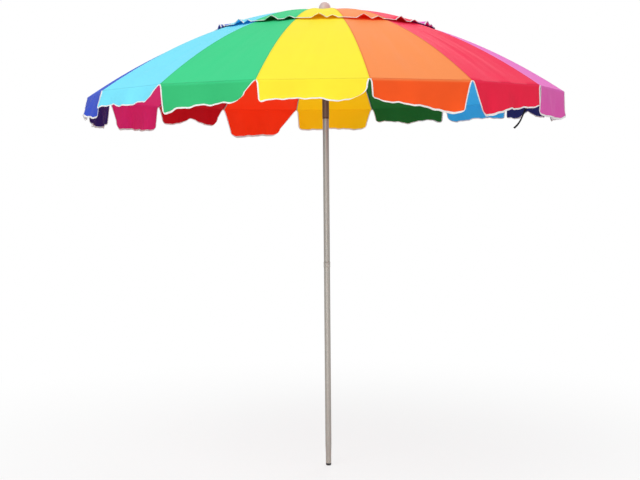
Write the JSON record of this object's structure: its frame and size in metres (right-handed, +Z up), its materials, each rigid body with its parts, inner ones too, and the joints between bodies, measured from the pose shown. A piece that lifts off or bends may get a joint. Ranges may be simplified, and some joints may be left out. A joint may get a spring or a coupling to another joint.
{
  "type": "beach umbrella",
  "caption": "Open beach umbrella: round canopy of bright gores with a scalloped valance and a vent cap, on a slender two-piece metal pole with a sliding runner.",
  "frame": {"origin": "centre of the foot plug's underside, on the pole's axis", "axes": "+Z up along the pole; the yellow gore faces -Y, and the gores run counter-clockwise from it seen from above"},
  "size_m": [2.1818, 2.1818, 2.2015],
  "materials": {
    "grey_steel": "dull drawn steel",
    "dark_steel": "darker drawn steel",
    "spring_steel": "bright spring steel",
    "stretcher_steel": "grey coated wire",
    "rib_fibreglass": "pultruded rod",
    "hub_plastic": "moulded, satin",
    "finial_plastic": "moulded, satin",
    "plug_plastic": "moulded, dull",
    "canopy_cloth": "woven polyester in eight colours, white binding",
    "cap_cloth": "woven polyester in eight colours, white binding",
    "strap_webbing": "black webbing"
  },
  "bodies": {
    "lower_pole": {"lower_pole_tube": "grey_steel", "foot_plug": "plug_plastic", "pole_socket_collar": "grey_steel"},
    "upper_pole": {"upper_pole_tube": "grey_steel", "crown_hub": "hub_plastic", "crown_ring_wire": "spring_steel", "crown_washer": "grey_steel", "finial": "finial_plastic", "canopy": "canopy_cloth", "vent_cap": "cap_cloth", "closure_strap": "strap_webbing"},
    "runner": {"runner_sleeve": "dark_steel", "runner_hub": "hub_plastic", "runner_ring_wire": "spring_steel"},
    "pole_button": {"pole_snap_button": "spring_steel"},
    "catch": {"runner_catch": "spring_steel"},
    "rib_01": {"rib_01": "rib_fibreglass"},
    "stretcher_01": {"stretcher_01": "stretcher_steel"},
    "rib_02": {"rib_02": "rib_fibreglass"},
    "stretcher_02": {"stretcher_02": "stretcher_steel"},
    "rib_03": {"rib_03": "rib_fibreglass"},
    "stretcher_03": {"stretcher_03": "stretcher_steel"},
    "rib_04": {"rib_04": "rib_fibreglass"},
    "stretcher_04": {"stretcher_04": "stretcher_steel"},
    "rib_05": {"rib_05": "rib_fibreglass"},
    "stretcher_05": {"stretcher_05": "stretcher_steel"},
    "rib_06": {"rib_06": "rib_fibreglass"},
    "stretcher_06": {"stretcher_06": "stretcher_steel"},
    "rib_07": {"rib_07": "rib_fibreglass"},
    "stretcher_07": {"stretcher_07": "stretcher_steel"},
    "rib_08": {"rib_08": "rib_fibreglass"},
    "stretcher_08": {"stretcher_08": "stretcher_steel"},
    "rib_09": {"rib_09": "rib_fibreglass"},
    "stretcher_09": {"stretcher_09": "stretcher_steel"},
    "rib_10": {"rib_10": "rib_fibreglass"},
    "stretcher_10": {"stretcher_10": "stretcher_steel"},
    "rib_11": {"rib_11": "rib_fibreglass"},
    "stretcher_11": {"stretcher_11": "stretcher_steel"},
    "rib_12": {"rib_12": "rib_fibreglass"},
    "stretcher_12": {"stretcher_12": "stretcher_steel"},
    "rib_13": {"rib_13": "rib_fibreglass"},
    "stretcher_13": {"stretcher_13": "stretcher_steel"},
    "rib_14": {"rib_14": "rib_fibreglass"},
    "stretcher_14": {"stretcher_14": "stretcher_steel"},
    "rib_15": {"rib_15": "rib_fibreglass"},
    "stretcher_15": {"stretcher_15": "stretcher_steel"},
    "rib_16": {"rib_16": "rib_fibreglass"},
    "stretcher_16": {"stretcher_16": "stretcher_steel"}
  },
  "joints": [
    {"name": "pole_lift", "type": "slide", "parent": "lower_pole", "child": "upper_pole", "axis": [0, 0, 1], "range_m": [0, 0.115], "deforming": ["pole_snap_button"]},
    {"name": "runner_slide", "type": "slide", "parent": "upper_pole", "child": "runner", "axis": [0, 0, -1], "range_m": [0, 0.65576], "deforming": ["canopy", "vent_cap", "closure_strap", "runner_catch"]},
    {"name": "snap_button_press", "type": "slide", "parent": "upper_pole", "child": "pole_button", "axis": [0, -1, 0], "range_m": [0, 0.0039], "stiffness_N_per_m": 800},
    {"name": "runner_catch_press", "type": "slide", "parent": "upper_pole", "child": "catch", "axis": [0, -1, 0], "range_m": [0, 0.0042], "stiffness_N_per_m": 800},
    {"name": "rib_hinge_01", "type": "hinge", "parent": "upper_pole", "child": "rib_01", "pos_m": [0.00507, -0.0255, 2.144], "axis": [0.9808, 0.1951, 0], "range_deg": [0, 63.6]},
    {"name": "stretcher_hinge_01", "type": "hinge", "parent": "runner", "child": "stretcher_01", "pos_m": [0.01082, -0.02364, 1.83], "axis": [-0.9808, -0.1951, 0], "range_deg": [0, 51.36]},
    {"name": "rib_hinge_02", "type": "hinge", "parent": "upper_pole", "child": "rib_02", "pos_m": [0.01444, -0.02162, 2.144], "axis": [0.8315, 0.5556, 0], "range_deg": [0, 63.6]},
    {"name": "stretcher_hinge_02", "type": "hinge", "parent": "runner", "child": "stretcher_02", "pos_m": [0.01904, -0.0177, 1.83], "axis": [-0.8315, -0.5556, 0], "range_deg": [0, 51.36]},
    {"name": "rib_hinge_03", "type": "hinge", "parent": "upper_pole", "child": "rib_03", "pos_m": [0.02162, -0.01444, 2.144], "axis": [0.5556, 0.8315, 0], "range_deg": [0, 63.6]},
    {"name": "stretcher_hinge_03", "type": "hinge", "parent": "runner", "child": "stretcher_03", "pos_m": [0.02437, -0.00907, 1.83], "axis": [-0.5556, -0.8315, 0], "range_deg": [0, 51.36]},
    {"name": "rib_hinge_04", "type": "hinge", "parent": "upper_pole", "child": "rib_04", "pos_m": [0.0255, -0.00507, 2.144], "axis": [0.1951, 0.9808, 0], "range_deg": [0, 63.6]},
    {"name": "stretcher_hinge_04", "type": "hinge", "parent": "runner", "child": "stretcher_04", "pos_m": [0.02598, 0.00095, 1.83], "axis": [-0.1951, -0.9808, 0], "range_deg": [0, 51.36]},
    {"name": "rib_hinge_05", "type": "hinge", "parent": "upper_pole", "child": "rib_05", "pos_m": [0.0255, 0.00507, 2.144], "axis": [-0.1951, 0.9808, 0], "range_deg": [0, 63.6]},
    {"name": "stretcher_hinge_05", "type": "hinge", "parent": "runner", "child": "stretcher_05", "pos_m": [0.02364, 0.01082, 1.83], "axis": [0.1951, -0.9808, 0], "range_deg": [0, 51.36]},
    {"name": "rib_hinge_06", "type": "hinge", "parent": "upper_pole", "child": "rib_06", "pos_m": [0.02162, 0.01444, 2.144], "axis": [-0.5556, 0.8315, 0], "range_deg": [0, 63.6]},
    {"name": "stretcher_hinge_06", "type": "hinge", "parent": "runner", "child": "stretcher_06", "pos_m": [0.0177, 0.01904, 1.83], "axis": [0.5556, -0.8315, 0], "range_deg": [0, 51.36]},
    {"name": "rib_hinge_07", "type": "hinge", "parent": "upper_pole", "child": "rib_07", "pos_m": [0.01444, 0.02162, 2.144], "axis": [-0.8315, 0.5556, 0], "range_deg": [0, 63.6]},
    {"name": "stretcher_hinge_07", "type": "hinge", "parent": "runner", "child": "stretcher_07", "pos_m": [0.00907, 0.02437, 1.83], "axis": [0.8315, -0.5556, 0], "range_deg": [0, 51.36]},
    {"name": "rib_hinge_08", "type": "hinge", "parent": "upper_pole", "child": "rib_08", "pos_m": [0.00507, 0.0255, 2.144], "axis": [-0.9808, 0.1951, 0], "range_deg": [0, 63.6]},
    {"name": "stretcher_hinge_08", "type": "hinge", "parent": "runner", "child": "stretcher_08", "pos_m": [-0.00095, 0.02598, 1.83], "axis": [0.9808, -0.1951, 0], "range_deg": [0, 51.36]},
    {"name": "rib_hinge_09", "type": "hinge", "parent": "upper_pole", "child": "rib_09", "pos_m": [-0.00507, 0.0255, 2.144], "axis": [-0.9808, -0.1951, 0], "range_deg": [0, 63.6]},
    {"name": "stretcher_hinge_09", "type": "hinge", "parent": "runner", "child": "stretcher_09", "pos_m": [-0.01082, 0.02364, 1.83], "axis": [0.9808, 0.1951, 0], "range_deg": [0, 51.36]},
    {"name": "rib_hinge_10", "type": "hinge", "parent": "upper_pole", "child": "rib_10", "pos_m": [-0.01444, 0.02162, 2.144], "axis": [-0.8315, -0.5556, 0], "range_deg": [0, 63.6]},
    {"name": "stretcher_hinge_10", "type": "hinge", "parent": "runner", "child": "stretcher_10", "pos_m": [-0.01904, 0.0177, 1.83], "axis": [0.8315, 0.5556, 0], "range_deg": [0, 51.36]},
    {"name": "rib_hinge_11", "type": "hinge", "parent": "upper_pole", "child": "rib_11", "pos_m": [-0.02162, 0.01444, 2.144], "axis": [-0.5556, -0.8315, 0], "range_deg": [0, 63.6]},
    {"name": "stretcher_hinge_11", "type": "hinge", "parent": "runner", "child": "stretcher_11", "pos_m": [-0.02437, 0.00907, 1.83], "axis": [0.5556, 0.8315, 0], "range_deg": [0, 51.36]},
    {"name": "rib_hinge_12", "type": "hinge", "parent": "upper_pole", "child": "rib_12", "pos_m": [-0.0255, 0.00507, 2.144], "axis": [-0.1951, -0.9808, 0], "range_deg": [0, 63.6]},
    {"name": "stretcher_hinge_12", "type": "hinge", "parent": "runner", "child": "stretcher_12", "pos_m": [-0.02598, -0.00095, 1.83], "axis": [0.1951, 0.9808, 0], "range_deg": [0, 51.36]},
    {"name": "rib_hinge_13", "type": "hinge", "parent": "upper_pole", "child": "rib_13", "pos_m": [-0.0255, -0.00507, 2.144], "axis": [0.1951, -0.9808, 0], "range_deg": [0, 63.6]},
    {"name": "stretcher_hinge_13", "type": "hinge", "parent": "runner", "child": "stretcher_13", "pos_m": [-0.02364, -0.01082, 1.83], "axis": [-0.1951, 0.9808, 0], "range_deg": [0, 51.36]},
    {"name": "rib_hinge_14", "type": "hinge", "parent": "upper_pole", "child": "rib_14", "pos_m": [-0.02162, -0.01444, 2.144], "axis": [0.5556, -0.8315, 0], "range_deg": [0, 63.6]},
    {"name": "stretcher_hinge_14", "type": "hinge", "parent": "runner", "child": "stretcher_14", "pos_m": [-0.0177, -0.01904, 1.83], "axis": [-0.5556, 0.8315, 0], "range_deg": [0, 51.36]},
    {"name": "rib_hinge_15", "type": "hinge", "parent": "upper_pole", "child": "rib_15", "pos_m": [-0.01444, -0.02162, 2.144], "axis": [0.8315, -0.5556, 0], "range_deg": [0, 63.6]},
    {"name": "stretcher_hinge_15", "type": "hinge", "parent": "runner", "child": "stretcher_15", "pos_m": [-0.00907, -0.02437, 1.83], "axis": [-0.8315, 0.5556, 0], "range_deg": [0, 51.36]},
    {"name": "rib_hinge_16", "type": "hinge", "parent": "upper_pole", "child": "rib_16", "pos_m": [-0.00507, -0.0255, 2.144], "axis": [0.9808, -0.1951, 0], "range_deg": [0, 63.6]},
    {"name": "stretcher_hinge_16", "type": "hinge", "parent": "runner", "child": "stretcher_16", "pos_m": [0.00095, -0.02598, 1.83], "axis": [-0.9808, 0.1951, 0], "range_deg": [0, 51.36]}
  ],
  "couplings": [
    {"joint": "rib_hinge_01", "follows": "runner_slide", "rad_per_m": 1.6901},
    {"joint": "stretcher_hinge_01", "follows": "runner_slide", "rad_per_m": 1.3642},
    {"joint": "rib_hinge_02", "follows": "runner_slide", "rad_per_m": 1.6901},
    {"joint": "stretcher_hinge_02", "follows": "runner_slide", "rad_per_m": 1.3642},
    {"joint": "rib_hinge_03", "follows": "runner_slide", "rad_per_m": 1.6901},
    {"joint": "stretcher_hinge_03", "follows": "runner_slide", "rad_per_m": 1.3642},
    {"joint": "rib_hinge_04", "follows": "runner_slide", "rad_per_m": 1.6901},
    {"joint": "stretcher_hinge_04", "follows": "runner_slide", "rad_per_m": 1.3642},
    {"joint": "rib_hinge_05", "follows": "runner_slide", "rad_per_m": 1.6901},
    {"joint": "stretcher_hinge_05", "follows": "runner_slide", "rad_per_m": 1.3642},
    {"joint": "rib_hinge_06", "follows": "runner_slide", "rad_per_m": 1.6901},
    {"joint": "stretcher_hinge_06", "follows": "runner_slide", "rad_per_m": 1.3642},
    {"joint": "rib_hinge_07", "follows": "runner_slide", "rad_per_m": 1.6901},
    {"joint": "stretcher_hinge_07", "follows": "runner_slide", "rad_per_m": 1.3642},
    {"joint": "rib_hinge_08", "follows": "runner_slide", "rad_per_m": 1.6901},
    {"joint": "stretcher_hinge_08", "follows": "runner_slide", "rad_per_m": 1.3642},
    {"joint": "rib_hinge_09", "follows": "runner_slide", "rad_per_m": 1.6901},
    {"joint": "stretcher_hinge_09", "follows": "runner_slide", "rad_per_m": 1.3642},
    {"joint": "rib_hinge_10", "follows": "runner_slide", "rad_per_m": 1.6901},
    {"joint": "stretcher_hinge_10", "follows": "runner_slide", "rad_per_m": 1.3642},
    {"joint": "rib_hinge_11", "follows": "runner_slide", "rad_per_m": 1.6901},
    {"joint": "stretcher_hinge_11", "follows": "runner_slide", "rad_per_m": 1.3642},
    {"joint": "rib_hinge_12", "follows": "runner_slide", "rad_per_m": 1.6901},
    {"joint": "stretcher_hinge_12", "follows": "runner_slide", "rad_per_m": 1.3642},
    {"joint": "rib_hinge_13", "follows": "runner_slide", "rad_per_m": 1.6901},
    {"joint": "stretcher_hinge_13", "follows": "runner_slide", "rad_per_m": 1.3642},
    {"joint": "rib_hinge_14", "follows": "runner_slide", "rad_per_m": 1.6901},
    {"joint": "stretcher_hinge_14", "follows": "runner_slide", "rad_per_m": 1.3642},
    {"joint": "rib_hinge_15", "follows": "runner_slide", "rad_per_m": 1.6901},
    {"joint": "stretcher_hinge_15", "follows": "runner_slide", "rad_per_m": 1.3642},
    {"joint": "rib_hinge_16", "follows": "runner_slide", "rad_per_m": 1.6901},
    {"joint": "stretcher_hinge_16", "follows": "runner_slide", "rad_per_m": 1.3642}
  ]
}
